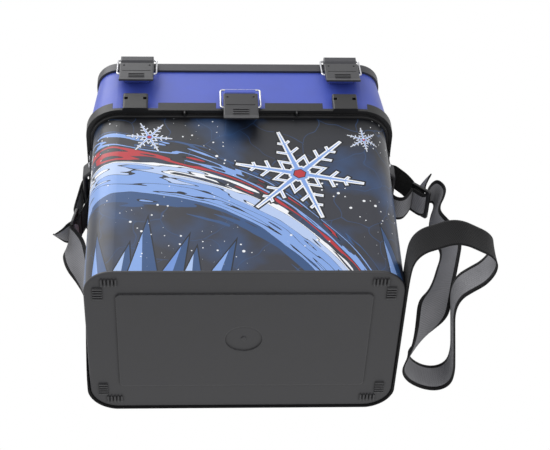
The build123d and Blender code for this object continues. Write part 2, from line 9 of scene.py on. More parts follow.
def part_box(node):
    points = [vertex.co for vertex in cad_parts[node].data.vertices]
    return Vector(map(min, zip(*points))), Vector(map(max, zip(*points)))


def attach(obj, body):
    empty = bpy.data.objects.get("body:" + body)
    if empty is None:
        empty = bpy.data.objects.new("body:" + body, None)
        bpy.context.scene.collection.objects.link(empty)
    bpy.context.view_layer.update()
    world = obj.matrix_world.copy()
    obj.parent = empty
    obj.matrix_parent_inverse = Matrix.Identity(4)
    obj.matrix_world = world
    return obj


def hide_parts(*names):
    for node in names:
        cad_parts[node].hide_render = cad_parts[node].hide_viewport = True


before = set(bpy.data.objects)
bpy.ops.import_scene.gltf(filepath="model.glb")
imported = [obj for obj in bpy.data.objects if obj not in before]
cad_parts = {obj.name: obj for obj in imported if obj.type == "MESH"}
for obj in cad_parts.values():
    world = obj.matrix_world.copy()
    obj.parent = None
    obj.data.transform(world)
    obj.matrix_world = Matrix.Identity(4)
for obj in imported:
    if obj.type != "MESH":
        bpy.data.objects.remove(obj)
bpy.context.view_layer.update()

bl_info = {
    "name": "Ice fishing box",
    "version": (1, 0, 0),
    "blender": (4, 5, 0),
    "location": "View3D > Sidebar > Fishing Box",
    "description": "Dresses the packed ice fishing box with its finishes, webbing and seat",
    "category": "Object",
}

# Webbing routes in millimetres: a point of the middle line and the direction across the strap there
RIGHT_DROP = [
    ((230, -26, 228.5), (0, -1, 0)),
    ((237, -26, 220.5), (0, -1, 0)),
    ((243.5, -26, 216.5), (0, -1, 0)),
    ((247.5, -26, 221.5), (0, -1, 0)),
    ((251, -26, 231), (0, -1, 0)),
    ((256.5, -26, 242), (0.1, -1, 0)),
    ((264, -26, 244), (0.2, -1, 0)),
    ((268.5, -26, 232), (0.3, -0.95, 0)),
    ((263, -26, 215), (0.35, -0.93, 0)),
    ((257, -26, 199), (0.25, -0.96, 0)),
    ((256, -26.5, 184), (0.25, -0.96, 0)),
    ((262, -27, 168), (0.45, -0.9, 0)),
    ((271, -28, 148), (0.55, -0.83, 0)),
    ((270, -29, 128), (0.6, -0.8, 0)),
    ((264, -30, 108), (0.65, -0.7, 0.1)),
    ((257, -31, 84), (0.7, -0.7, 0.05)),
    ((249, -30, 62), (0.78, -0.6, 0.1)),
    ((241, -26, 44), (0.85, -0.4, 0.2)),
    ((235, -15, 31), (0.85, -0.2, 0.42)),
    ((229, 1, 23), (0.8, 0, 0.6)),
    ((223, 19, 19.5), (0.65, 0, 0.76)),
    ((216, 38, 19.6), (0.5, 0, 0.87)),
    ((208.5, 58, 20), (0.33, 0, 0.94)),
    ((214, 77, 20.4), (0.16, 0, 0.98)),
    ((234, 93, 20.4), (0.03, 0, 1)),
]
# On the floor and along the foot of the walls the strap stands on its edge
FLOOR_LEVEL = 20.4
FLOOR_RUN = [
    (254, 96), (268, 84), (270, 58), (266.5, 28), (260.5, -20), (256, -56), (261, -80), (274, -93),
    (288, -105), (297, -124), (297.5, -142), (288, -155), (273, -164), (256, -174), (240, -175),
    (225, -168), (207, -160), (196.5, -142), (194.8, -112), (194.8, -60), (194.8, 0), (194.8, 60),
    (194.8, 84), (194.8, 100.3), (184.5, 118), (166.8, 128.3), (150, 128.3), (100, 128.3),
    (34, 128.3), (-34, 128.3), (-100, 128.3), (-150, 128.3), (-166.8, 128.3), (-184.5, 118),
    (-194.8, 100.3),
]
LEFT_RISE = [
    ((-195.2, 86, 21.6), (0, 0.14, 0.99)),
    ((-195.5, 72, 25.5), (0, 0.34, 0.94)),
    ((-195.5, 40, 43), (0, 0.64, 0.77)),
    ((-196, 17, 71), (0, 0.87, 0.5)),
    ((-198, 6, 97), (-0.15, 0.95, 0.26)),
    ((-204, 1, 121), (-0.45, 0.88, 0.1)),
    ((-212.5, -1, 141), (-0.7, 0.7, 0)),
    ((-217, -1, 159), (-0.75, 0.65, 0)),
    ((-222, 0, 175), (-0.5, 0.86, 0)),
    ((-223.5, 0, 187), (0, 1, 0)),
    ((-219, 0, 194), (0, 1, 0)),
    ((-211.8, 0, 198.5), (0, 1, 0)),
    ((-210.2, 0, 208), (0, 1, 0)),
]
SHOULDER_STRAP = [*RIGHT_DROP, *(((x, y, FLOOR_LEVEL), (0, 0, 1)) for x, y in FLOOR_RUN), *LEFT_RISE]
# Loops: a loose tail, then the turn round slider and bow, which lies level across.
# The right one is slid forward from the middle of its bow, the left one is in the middle.
RIGHT_SLIDE = -26
RIGHT_TAIL = [
    ((250, -30, 259), (0.35, -0.85, 0.4)),
    ((248.5, -28, 249), (0.2, -0.95, 0.2)),
    ((247.5, -26.5, 238), (0, -1, 0)),
]
RIGHT_TURN = [
    (245.5, 228), (243, 222.5), (237.6, 222.8), (234.6, 229.5), (232, 241), (224, 256), (214, 268),
    (208.5, 273.4), (200.4, 273.4), (198.8, 262), (198.2, 244), (198.2, 224), (204, 212),
    (215, 210), (223, 219), (228.6, 229.6),
]
RIGHT_LOOP = [*RIGHT_TAIL, *(((x, RIGHT_SLIDE, z), (0, -1, 0)) for x, z in RIGHT_TURN)]
LEFT_TAIL = [
    ((-244, -2, 187.5), (0.15, -0.72, -0.7)),
    ((-236, -1, 188.5), (0, -0.85, -0.5)),
    ((-227, 0, 190.5), (0, -1, -0.1)),
]
LEFT_TURN = [
    (-218.5, 194.8), (-213.2, 199.3), (-215.4, 205.8), (-219, 213), (-218, 224), (-214.6, 245),
    (-211.4, 267), (-208.5, 273.4), (-200.4, 273.4), (-198.8, 262), (-199.2, 240), (-205, 223),
    (-210, 209),
]
LEFT_LOOP = [*LEFT_TAIL, *(((x, 0, z), (0, -1, 0)) for x, z in LEFT_TURN)]
# Points across the webbing from edge to edge, and how far its middle bows out of the edges' plane in metres
WEBBING_ROWS = (-1.0, -0.88, -0.7, -0.35, 0.0, 0.35, 0.7, 0.88, 1.0)
WEBBING_BOW = 0.0007
# Seat: share of its height below the roll, and the roll's steps inward in metres and upward in shares
SEAT_WALL = 0.52
SEAT_ROLL = ((0.0007, 0.20), (0.0013, 0.14), (0.002, 0.08), (0.003, 0.06))
# Channels of the seat: the flat rim in which they end, in metres, and the cuts along each, in half widths
CHANNEL_END = 0.006
CHANNEL_CUTS = (-1.5, -1.0, -0.5, 0.0, 0.5, 1.0, 1.5)


def colour(code):
    """Linear RGBA of an sRGB hex value."""
    channels = [int(code[i:i + 2], 16) / 255 for i in (0, 2, 4)]
    linear = [c / 12.92 if c <= 0.04045 else ((c + 0.055) / 1.055) ** 2.4 for c in channels]
    return (*linear, 1.0)


# The print, in millimetres: along the wall from the middle of the front, and up from the floor
DEEP_ICE = colour("6F93D6")
MID_ICE = colour("86A8E4")
PALE_ICE = colour("A9C2EE")
# Ice spikes: foot along the wall, lean in radians, length, half width, shade of the light side
ICE_SPIKES = [
    (-176, -0.10, 82, 17, MID_ICE),
    (-148, 0.16, 62, 14, PALE_ICE),
    (-122, 0.05, 104, 20, MID_ICE),
    (-90, 0.30, 78, 15, DEEP_ICE),
    (-64, 0.12, 56, 13, PALE_ICE),
    (-34, 0.34, 70, 14, MID_ICE),
    (196, -0.30, 96, 18, MID_ICE),
    (232, 0.06, 74, 16, DEEP_ICE),
    (264, -0.14, 110, 20, PALE_ICE),
    (-226, 0.12, 96, 18, DEEP_ICE),
    (-258, -0.16, 70, 16, PALE_ICE),
]
# Snow crystals: centre, scale, twist in radians
SNOW_CRYSTALS = [
    ((72, 172), 1.0, 0.22),
    ((-118, 240), 0.36, 0.1),
    ((158, 236), 0.28, 0.4),
    ((-255, 190), 0.7, 0.3),
    ((330, 150), 0.9, 0.1),
]
# One crystal at scale 1: its arms, the twigs on them and the hub
ARM_LENGTH = 82.0
ARM_HALF_WIDTH = 5.2
ARM_TAPER = 0.035
TWIG_PITCH = 9.5
TWIG_HALF_WIDTH = 2.6
TWIG_SLANT = -0.577
TWIG_REACH = 34.0
TWIG_TAPER = 0.42
HUB_RADIUS = 13.0
# The arc that the brushed bands follow
SWEEP_CENTRE = (-185, -150, 0)
SWEEP_RADIUS = 345.0


class FinishSettings(bpy.types.PropertyGroup):
    """Colours of the box's finishes."""
    black_plastic: bpy.props.FloatVectorProperty(
        name="Black plastic", description="Base moulding", subtype="COLOR", size=4,
        min=0, max=1, default=colour("2B2B2E"))
    # The collar's deeper black is painted shade: the whole collar is darkened to stand for the shade under
    # its flange
    shaded_collar_plastic: bpy.props.FloatVectorProperty(
        name="Collar plastic", description="Collar moulding, deeper black", subtype="COLOR", size=4,
        min=0, max=1, default=colour("131315"))
    lid_plastic: bpy.props.FloatVectorProperty(
        name="Lid plastic", description="Lid moulding, greyer black", subtype="COLOR", size=4,
        min=0, max=1, default=colour("38383D"))
    latch_plastic: bpy.props.FloatVectorProperty(
        name="Latch plastic", description="Levers and strap brackets", subtype="COLOR", size=4,
        min=0, max=1, default=colour("26262A"))
    blue_plastic: bpy.props.FloatVectorProperty(
        name="Blue plastic", description="Upper section", subtype="COLOR", size=4,
        min=0, max=1, default=colour("4457BA"))
    print_ground: bpy.props.FloatVectorProperty(
        name="Print ground", description="Charcoal ground of the printed wall", subtype="COLOR", size=4,
        min=0, max=1, default=colour("34363F"))
    print_navy: bpy.props.FloatVectorProperty(
        name="Print navy", description="Middle blue of the print", subtype="COLOR", size=4,
        min=0, max=1, default=colour("34527F"))
    print_ice: bpy.props.FloatVectorProperty(
        name="Print ice blue", description="Light blue of the print", subtype="COLOR", size=4,
        min=0, max=1, default=colour("86A8E4"))
    print_red: bpy.props.FloatVectorProperty(
        name="Print red", description="Red accents of the print", subtype="COLOR", size=4,
        min=0, max=1, default=colour("B8333C"))
    webbing: bpy.props.FloatVectorProperty(
        name="Webbing", description="Grey face of the strap", subtype="COLOR", size=4,
        min=0, max=1, default=colour("8C8C90"))
    webbing_edge: bpy.props.FloatVectorProperty(
        name="Webbing edge", description="Black borders and reverse of the strap", subtype="COLOR", size=4,
        min=0, max=1, default=colour("0E0E10"))
    seat_foam: bpy.props.FloatVectorProperty(
        name="Seat foam", description="Closed-cell foam of the seat", subtype="COLOR", size=4,
        min=0, max=1, default=colour("2C2C2F"))


class SizeSettings(bpy.types.PropertyGroup):
    """Sizes of the dressed pieces and of their surface patterns."""
    strap_width: bpy.props.FloatProperty(
        name="Strap width", description="Width of the webbing", unit="LENGTH", default=0.040)
    strap_thickness: bpy.props.FloatProperty(
        name="Strap thickness", description="Thickness of the webbing", unit="LENGTH", default=0.0018)
    strap_border: bpy.props.FloatProperty(
        name="Strap border", description="Width of the black border along each edge",
        unit="LENGTH", default=0.0048)
    thread: bpy.props.FloatProperty(
        name="Thread spacing", description="Rib spacing of the weave", unit="LENGTH", default=0.0026)
    grain: bpy.props.FloatProperty(
        name="Moulding grain", description="Grit of the mouldings' spark-eroded skin",
        unit="LENGTH", default=0.0016)
    edge_radius: bpy.props.FloatProperty(
        name="Edge radius", description="Rounding of the mouldings' edges", unit="LENGTH", default=0.0008)
    seat_crown: bpy.props.FloatProperty(
        name="Seat crown", description="Rise of the seat's middle over its edge",
        unit="LENGTH", default=0.0018)
    seat_corner: bpy.props.FloatProperty(
        name="Seat corner", description="Corner radius of the seat", unit="LENGTH", default=0.017)
    channel_pitch: bpy.props.FloatProperty(
        name="Seat channels", description="Half the spacing of the seat's pressed channels along X",
        unit="LENGTH", default=0.032)
    channel_width: bpy.props.FloatProperty(
        name="Channel width", description="Width of a pressed channel", unit="LENGTH", default=0.0064)
    channel_depth: bpy.props.FloatProperty(
        name="Channel depth", description="Depth of a pressed channel", unit="LENGTH", default=0.0016)


class StageSettings(bpy.types.PropertyGroup):
    """Camera and light."""
    eye: bpy.props.FloatVectorProperty(
        name="Camera place", description="Where the camera stands", subtype="TRANSLATION", unit="LENGTH",
        default=(-0.0604, -1.4327, -1.2148))
    azimuth: bpy.props.FloatProperty(
        name="Azimuth", description="Camera's turn about the upright axis", subtype="ANGLE",
        default=math.radians(-4.28))
    elevation: bpy.props.FloatProperty(
        name="Elevation", description="Camera's height angle, negative from below", subtype="ANGLE",
        default=math.radians(-44.68))
    roll: bpy.props.FloatProperty(
        name="Roll", description="Camera's turn about its own axis", subtype="ANGLE",
        default=math.radians(3.05))
    lens: bpy.props.FloatProperty(
        name="Lens", description="Focal length on a 36 mm wide sensor", subtype="DISTANCE_CAMERA",
        default=99.3)
    aim: bpy.props.FloatVectorProperty(
        name="Aim", description="Where the lights point", subtype="TRANSLATION", unit="LENGTH",
        default=(0.0, 0.0, 0.2))
    key_place: bpy.props.FloatVectorProperty(
        name="Key place", description="Where the key light stands", subtype="TRANSLATION", unit="LENGTH",
        default=(-0.95, -0.95, 1.54))
    key_size: bpy.props.FloatProperty(
        name="Key size", description="Width of the key light's softbox", unit="LENGTH", default=1.6)
    key_power: bpy.props.FloatProperty(
        name="Key light", description="Softbox to the left, in front and above", subtype="POWER",
        default=26.0)
    fill_place: bpy.props.FloatVectorProperty(
        name="Fill place", description="Where the fill light stands", subtype="TRANSLATION", unit="LENGTH",
        default=(0.5, -1.5, -0.9))
    fill_size: bpy.props.FloatProperty(
        name="Fill size", description="Width of the fill light's softbox", unit="LENGTH", default=1.4)
    fill_power: bpy.props.FloatProperty(
        name="Fill light", description="Softbox in front and below", subtype="POWER", default=9.0)
    floor_reach: bpy.props.FloatProperty(
        name="Floor reach", description="Half the width of the floor", unit="LENGTH", default=4.0)
    floor_gap: bpy.props.FloatProperty(
        name="Floor gap", description="Gap between the floor and the box", unit="LENGTH", default=0.0004)
    ambient: bpy.props.FloatProperty(
        name="Ambient", description="Light of the white room", default=0.55, min=0)


def add(tree, kind, inputs=None, stops=None, **settings):
    """Adds a node with its settings, its inputs as values or links, and any colour stops."""
    node = tree.nodes.new(kind)
    for key, value in settings.items():
        setattr(node, key, value)
    for key, value in (inputs or {}).items():
        if isinstance(value, bpy.types.NodeSocket):
            tree.links.new(value, node.inputs[key])
        else:
            node.inputs[key].default_value = value
    if stops:
        ramp = node.color_ramp
        while len(ramp.elements) < len(stops):
            ramp.elements.new(1.0)
        for element, (place, shade) in zip(ramp.elements, stops):
            element.position = place
            element.color = shade
    return node


def new_material(name):
    """A new material and its node tree, which is still empty."""
    material = bpy.data.materials.new(name)
    material.use_nodes = True
    material.node_tree.nodes.clear()
    return material, material.node_tree


def finish_with(tree, shader):
    """Joins a shader to the material's output."""
    add(tree, "ShaderNodeOutputMaterial", {"Surface": shader.outputs[0]})


def dress(node, material):
    """Gives a CAD node its finish."""
    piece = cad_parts[node]
    if not piece.material_slots:
        piece.data.materials.append(material)
    for slot in piece.material_slots:
        slot.material = material


def moulded(name, shade, roughness, grain_depth, variation=0.18, rounding=1.0):
    """Injection-moulded plastic, spark-eroded skin: soft highlight, edges paler from wear and a painted
    highlight, painted shade in recesses.
    """
    sizes = bpy.context.scene.fishing_box_sizes
    material, tree = new_material(name)
    where = add(tree, "ShaderNodeTexCoord").outputs["Object"]
    # The real grit is about 0.3 mm; it is drawn five times coarser so that it shows.
    # Flow marks of the melt are about 45 mm long, rubbed spots about 6 mm.
    grit = add(tree, "ShaderNodeTexNoise", {"Vector": where, "Scale": 1 / sizes.grain, "Detail": 2.0})
    flow = add(tree, "ShaderNodeTexNoise",
               {"Vector": where, "Scale": 1 / 0.045, "Detail": 4.0, "Roughness": 0.6})
    rubbed = add(tree, "ShaderNodeTexNoise", {"Vector": where, "Scale": 1 / 0.006, "Detail": 3.0})
    rounded = add(tree, "ShaderNodeBevel", {"Radius": sizes.edge_radius * rounding}, samples=6)
    flat = add(tree, "ShaderNodeNewGeometry").outputs["True Normal"]
    turn = add(tree, "ShaderNodeVectorMath", {0: rounded.outputs[0], 1: flat}, operation="DOT_PRODUCT")
    edge = add(tree, "ShaderNodeMapRange",
               {"Value": turn.outputs["Value"], "From Min": 0.99, "From Max": 0.78})
    # Paler edges: rubbed wear in spots, and a painted highlight along every rounded edge
    wear_and_edge_highlight = add(tree, "ShaderNodeMath", {0: edge.outputs[0], 1: rubbed.outputs[0]}, operation="MULTIPLY")
    tone = add(tree, "ShaderNodeMapRange", {"Value": flow.outputs[0], "From Min": 0.3, "From Max": 0.7,
                                            "To Min": 1 - variation, "To Max": 1 + variation})
    # Painted shade: slots and inner corners are darkened, in colour and in reflection, by how enclosed they
    # are
    open_air = add(tree, "ShaderNodeAmbientOcclusion", {"Distance": 0.004}, samples=4, only_local=True)
    painted_recess_shade = add(tree, "ShaderNodeMapRange",
                {"Value": open_air.outputs["AO"], "From Min": 0.4, "From Max": 0.85, "To Min": 0.05})
    tone = add(tree, "ShaderNodeMath", {0: tone.outputs[0], 1: painted_recess_shade.outputs[0]}, operation="MULTIPLY")
    gloss = add(tree, "ShaderNodeMath", {0: painted_recess_shade.outputs[0], 1: 0.5}, operation="MULTIPLY")
    base = add(tree, "ShaderNodeVectorMath", {0: shade[:3], 3: tone.outputs[0]}, operation="SCALE")
    worn_and_highlit = [min(1.0, 0.05 + 1.7 * c) for c in shade[:3]] + [1.0]
    pale = add(tree, "ShaderNodeMix", {"Factor": wear_and_edge_highlight.outputs[0], 6: base.outputs[0], 7: worn_and_highlit},
               data_type="RGBA")
    rough = add(tree, "ShaderNodeMapRange", {"Value": flow.outputs[0], "From Min": 0.3, "From Max": 0.7,
                                             "To Min": roughness - 0.05, "To Max": roughness + 0.05})
    bump = add(tree, "ShaderNodeBump", {"Height": grit.outputs[0], "Strength": 0.35,
                                        "Distance": grain_depth, "Normal": rounded.outputs[0]})
    shader = add(tree, "ShaderNodeBsdfPrincipled", {
        "Base Color": pale.outputs[2], "Roughness": rough.outputs[0], "IOR": 1.5,
        "Specular IOR Level": gloss.outputs[0], "Normal": bump.outputs[0]})
    finish_with(tree, shader)
    return material


def drawn_metal(name, shade, roughness, spacing):
    """Drawn and polished metal: bright, with fine lines that break the reflection."""
    material, tree = new_material(name)
    where = add(tree, "ShaderNodeTexCoord").outputs["Object"]
    # Drawing lines at the given spacing, and a haze of handling in patches of 12 mm
    lines = add(tree, "ShaderNodeTexNoise", {"Vector": where, "Scale": 1 / spacing, "Detail": 3.0})
    haze = add(tree, "ShaderNodeTexNoise", {"Vector": where, "Scale": 1 / 0.012, "Detail": 3.0})
    rough = add(tree, "ShaderNodeMapRange", {"Value": haze.outputs[0], "From Min": 0.3, "From Max": 0.7,
                                             "To Min": roughness - 0.06, "To Max": roughness + 0.08})
    tone = add(tree, "ShaderNodeMapRange", {"Value": haze.outputs[0], "From Min": 0.3, "From Max": 0.7,
                                            "To Min": 0.9, "To Max": 1.04})
    base = add(tree, "ShaderNodeVectorMath", {0: shade[:3], 3: tone.outputs[0]}, operation="SCALE")
    bump = add(tree, "ShaderNodeBump", {"Height": lines.outputs[0], "Strength": 0.15, "Distance": 0.0001})
    shader = add(tree, "ShaderNodeBsdfPrincipled", {
        "Base Color": base.outputs[0], "Metallic": 1.0, "Roughness": rough.outputs[0],
        "Normal": bump.outputs[0]})
    finish_with(tree, shader)
    return material


def printed_film(colours):
    """Reverse-printed film on a plastic sheet: crisp inks under a clear, faintly wavy satin coat.

    The design is drawn in millimetres on the unrolled wall: first coordinate along the wall from the middle
    of the front, second up from the floor.
    """
    material, tree = new_material("printed_film")
    clear = (0.0, 0.0, 0.0, 0.0)
    ink = colour("12161F")
    white = colour("F4F6FA")
    pale = colour("B9CCF0")
    ice, navy, red = colours.print_ice[:], colours.print_navy[:], colours.print_red[:]
    where = add(tree, "ShaderNodeTexCoord").outputs["Object"]
    axes = add(tree, "ShaderNodeSeparateXYZ", {0: where})
    x, y, z = axes.outputs[0], axes.outputs[1], axes.outputs[2]
    low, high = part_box("body_wrap")
    across = add(tree, "ShaderNodeMath", {0: x}, operation="ABSOLUTE").outputs[0]
    side = add(tree, "ShaderNodeMath", {0: x}, operation="SIGN").outputs[0]
    ahead = add(tree, "ShaderNodeMath", {0: y, 1: 0.0}, operation="LESS_THAN").outputs[0]
    behind = add(tree, "ShaderNodeMath", {0: high.x - low.x, 1: across}, operation="SUBTRACT").outputs[0]
    reach = add(tree, "ShaderNodeMix", {"Factor": ahead, 2: behind, 3: across}).outputs[0]
    depth = add(tree, "ShaderNodeMath", {0: y, 1: -low.y}, operation="ADD").outputs[0]
    along = add(tree, "ShaderNodeMath", {0: reach, 1: depth}, operation="ADD").outputs[0]
    along = add(tree, "ShaderNodeMath", {0: along, 1: side}, operation="MULTIPLY").outputs[0]
    metres = add(tree, "ShaderNodeCombineXYZ", {0: along, 1: z}).outputs[0]
    place = add(tree, "ShaderNodeVectorMath", {0: metres, 3: 1000.0}, operation="SCALE").outputs[0]
    # Ground: charcoal that darkens upwards, going near black at the very top as a painted shadow of the
    # collar, with clouds of navy and faint cracks as in clear ice
    height = add(tree, "ShaderNodeMapRange", {"Value": z, "From Min": 0.02, "From Max": 0.28}).outputs[0]
    ground = add(tree, "ShaderNodeValToRGB", {"Fac": height}, stops=[
        (0.0, colours.print_ground[:]), (0.5, colour("32343D")),
        (0.85, colour("26282F")), (1.0, colour("0C0E13"))])
    cloud = add(tree, "ShaderNodeTexNoise", {"Vector": place, "Scale": 1 / 95, "Detail": 3.0},
                noise_dimensions="2D").outputs[0]
    cloud = add(tree, "ShaderNodeMapRange", {"Value": cloud, "From Min": 0.48, "From Max": 0.75,
                                             "To Max": 0.7}).outputs[0]
    coat = add(tree, "ShaderNodeMix", {"Factor": cloud, 6: ground.outputs[0], 7: navy},
               data_type="RGBA").outputs[2]
    drift = add(tree, "ShaderNodeTexNoise", {"Vector": place, "Scale": 1 / 40, "Detail": 1.0},
                noise_dimensions="2D").outputs["Color"]
    drift = add(tree, "ShaderNodeVectorMath", {0: drift, 3: 30.0}, operation="SCALE").outputs[0]
    loose = add(tree, "ShaderNodeVectorMath", {0: place, 1: drift}, operation="ADD").outputs[0]
    cells = add(tree, "ShaderNodeTexVoronoi",
                {"Vector": loose, "Scale": 1 / 58}, feature="DISTANCE_TO_EDGE",
                voronoi_dimensions="2D").outputs["Distance"]
    crack = add(tree, "ShaderNodeMapRange", {"Value": cells, "From Min": 0.016, "From Max": 0.004,
                                             "To Max": 0.55}).outputs[0]
    coat = add(tree, "ShaderNodeMix", {"Factor": crack, 6: coat, 7: navy}, data_type="RGBA").outputs[2]
    # Sweep: brushed bands on a wide arc, from the left wall over the front and down to the right
    arm = add(tree, "ShaderNodeVectorMath", {0: place, 1: SWEEP_CENTRE}, operation="SUBTRACT").outputs[0]
    arm_axes = add(tree, "ShaderNodeSeparateXYZ", {0: arm})
    bow = add(tree, "ShaderNodeVectorMath", {0: arm}, operation="LENGTH").outputs["Value"]
    turn = add(tree, "ShaderNodeMath", {0: arm_axes.outputs[1], 1: arm_axes.outputs[0]},
               operation="ARCTAN2").outputs[0]
    slim = add(tree, "ShaderNodeMapRange", {"Value": turn, "From Min": 0.4, "From Max": 1.7, "To Min": 1.7,
                                            "To Max": 0.8}).outputs[0]
    bow = add(tree, "ShaderNodeMath", {0: bow, 1: SWEEP_RADIUS}, operation="SUBTRACT").outputs[0]
    bow = add(tree, "ShaderNodeMath", {0: bow, 1: slim}, operation="MULTIPLY").outputs[0]
    flow = add(tree, "ShaderNodeMath", {0: turn, 1: 3.4}, operation="MULTIPLY").outputs[0]
    grade = add(tree, "ShaderNodeMath", {0: bow, 1: 0.075}, operation="MULTIPLY").outputs[0]
    flow = add(tree, "ShaderNodeCombineXYZ", {0: flow, 1: grade}).outputs[0]
    # Brush strokes about 100 mm long and 13 mm wide
    stroke = add(tree, "ShaderNodeTexNoise",
                 {"Vector": flow, "Scale": 1.0, "Detail": 1.6, "Roughness": 0.45},
                 noise_dimensions="2D").outputs[0]
    bow = add(tree, "ShaderNodeMath", {0: stroke, 1: 60.0, 2: bow}, operation="MULTIPLY_ADD").outputs[0]
    bow = add(tree, "ShaderNodeMapRange", {"Value": bow, "From Min": -70.0, "From Max": 130.0}).outputs[0]
    sweep = add(tree, "ShaderNodeValToRGB", {"Fac": bow}, stops=[
        (0.0, clear), (0.13, navy), (0.22, ink), (0.23, ice), (0.315, ink), (0.325, ice), (0.40, ink),
        (0.408, pale), (0.47, ink), (0.478, white), (0.505, ink), (0.515, clear), (0.555, red),
        (0.605, ink), (0.613, clear), (0.655, ice), (0.68, ink), (0.687, clear), (0.725, navy),
        (0.745, clear)])
    sweep.color_ramp.interpolation = "CONSTANT"
    coat = add(tree, "ShaderNodeMix", {"Factor": sweep.outputs["Alpha"], 6: coat, 7: sweep.outputs[0]},
               data_type="RGBA").outputs[2]
    # Ice spikes growing from the foot of the wall: an inked outline, a light and a dark facet
    for foot, lean, length, half, light in ICE_SPIKES:
        local = add(tree, "ShaderNodeVectorMath", {0: place, 1: (foot, -12, 0)},
                    operation="SUBTRACT").outputs[0]
        up = (math.sin(lean), math.cos(lean), 0)
        rise = add(tree, "ShaderNodeVectorMath", {0: local, 1: up},
                   operation="DOT_PRODUCT").outputs["Value"]
        off = add(tree, "ShaderNodeVectorMath", {0: local, 1: (up[1], -up[0], 0)},
                  operation="DOT_PRODUCT").outputs["Value"]
        rim = add(tree, "ShaderNodeMath", {0: off}, operation="ABSOLUTE").outputs[0]
        rim = add(tree, "ShaderNodeMath", {0: rise, 1: half / length, 2: rim},
                  operation="MULTIPLY_ADD").outputs[0]
        outer = add(tree, "ShaderNodeMath", {0: rim, 1: half + 1.6}, operation="LESS_THAN").outputs[0]
        inner = add(tree, "ShaderNodeMath", {0: rim, 1: half}, operation="LESS_THAN").outputs[0]
        facet = add(tree, "ShaderNodeMath", {0: rise, 1: 0.06, 2: off}, operation="MULTIPLY_ADD").outputs[0]
        facet = add(tree, "ShaderNodeMath", {0: facet, 1: 0.0}, operation="GREATER_THAN").outputs[0]
        facet = add(tree, "ShaderNodeMix", {"Factor": facet, 6: light, 7: navy},
                    data_type="RGBA").outputs[2]
        coat = add(tree, "ShaderNodeMix", {"Factor": outer, 6: coat, 7: ink}, data_type="RGBA").outputs[2]
        coat = add(tree, "ShaderNodeMix", {"Factor": inner, 6: coat, 7: facet}, data_type="RGBA").outputs[2]
    # Snow crystals: one arm with side branches, folded six times about the centre
    for centre, scale, twist in SNOW_CRYSTALS:
        star = add(tree, "ShaderNodeVectorMath", {0: place, 1: (*centre, 0)},
                   operation="SUBTRACT").outputs[0]
        star = add(tree, "ShaderNodeVectorMath", {0: star, 3: 1 / scale}, operation="SCALE").outputs[0]
        star_axes = add(tree, "ShaderNodeSeparateXYZ", {0: star})
        radius = add(tree, "ShaderNodeVectorMath", {0: star}, operation="LENGTH").outputs["Value"]
        angle = add(tree, "ShaderNodeMath", {0: star_axes.outputs[1], 1: star_axes.outputs[0]},
                    operation="ARCTAN2").outputs[0]
        angle = add(tree, "ShaderNodeMath", {0: angle, 1: twist}, operation="ADD").outputs[0]
        angle = add(tree, "ShaderNodeMath", {0: angle, 1: math.radians(30)},
                    operation="PINGPONG").outputs[0]
        out = add(tree, "ShaderNodeMath", {0: angle}, operation="COSINE").outputs[0]
        out = add(tree, "ShaderNodeMath", {0: out, 1: radius}, operation="MULTIPLY").outputs[0]
        off = add(tree, "ShaderNodeMath", {0: angle}, operation="SINE").outputs[0]
        off = add(tree, "ShaderNodeMath", {0: off, 1: radius}, operation="MULTIPLY").outputs[0]
        bar = add(tree, "ShaderNodeMath", {0: out, 1: ARM_TAPER, 2: -ARM_HALF_WIDTH},
                  operation="MULTIPLY_ADD").outputs[0]
        bar = add(tree, "ShaderNodeMath", {0: off, 1: bar}, operation="ADD").outputs[0]
        tip = add(tree, "ShaderNodeMath", {0: out, 1: ARM_LENGTH}, operation="SUBTRACT").outputs[0]
        bar = add(tree, "ShaderNodeMath", {0: bar, 1: tip}, operation="MAXIMUM").outputs[0]
        row = add(tree, "ShaderNodeMath", {0: off, 1: TWIG_SLANT, 2: out},
                  operation="MULTIPLY_ADD").outputs[0]
        row = add(tree, "ShaderNodeMath", {0: row, 1: TWIG_PITCH}, operation="PINGPONG").outputs[0]
        row = add(tree, "ShaderNodeMath", {0: row, 1: TWIG_HALF_WIDTH}, operation="SUBTRACT").outputs[0]
        span = add(tree, "ShaderNodeMath", {0: out, 1: TWIG_TAPER, 2: off},
                   operation="MULTIPLY_ADD").outputs[0]
        span = add(tree, "ShaderNodeMath", {0: span, 1: TWIG_REACH}, operation="SUBTRACT").outputs[0]
        twig = add(tree, "ShaderNodeMath", {0: row, 1: span}, operation="MAXIMUM").outputs[0]
        crystal = add(tree, "ShaderNodeMath", {0: bar, 1: twig}, operation="MINIMUM").outputs[0]
        hub = add(tree, "ShaderNodeMath", {0: out, 1: HUB_RADIUS}, operation="SUBTRACT").outputs[0]
        crystal = add(tree, "ShaderNodeMath", {0: crystal, 1: hub}, operation="MINIMUM").outputs[0]
        edge = add(tree, "ShaderNodeMapRange",
                   {"Value": crystal, "From Min": -8.0, "From Max": 8.0}).outputs[0]
        flake = add(tree, "ShaderNodeValToRGB", {"Fac": edge}, stops=[
            (0.0, ice), (0.30, ice), (0.37, white), (0.50, ink), (0.64, clear)])
        flake.color_ramp.interpolation = "CONSTANT"
        coat = add(tree, "ShaderNodeMix", {"Factor": flake.outputs["Alpha"], 6: coat, 7: flake.outputs[0]},
                   data_type="RGBA").outputs[2]
        heart = add(tree, "ShaderNodeMapRange",
                    {"Value": out, "From Min": 0.0, "From Max": 20.0}).outputs[0]
        heart = add(tree, "ShaderNodeValToRGB", {"Fac": heart},
                    stops=[(0.0, red), (0.33, ink), (0.39, clear)])
        heart.color_ramp.interpolation = "CONSTANT"
        coat = add(tree, "ShaderNodeMix", {"Factor": heart.outputs["Alpha"], 6: coat, 7: heart.outputs[0]},
                   data_type="RGBA").outputs[2]
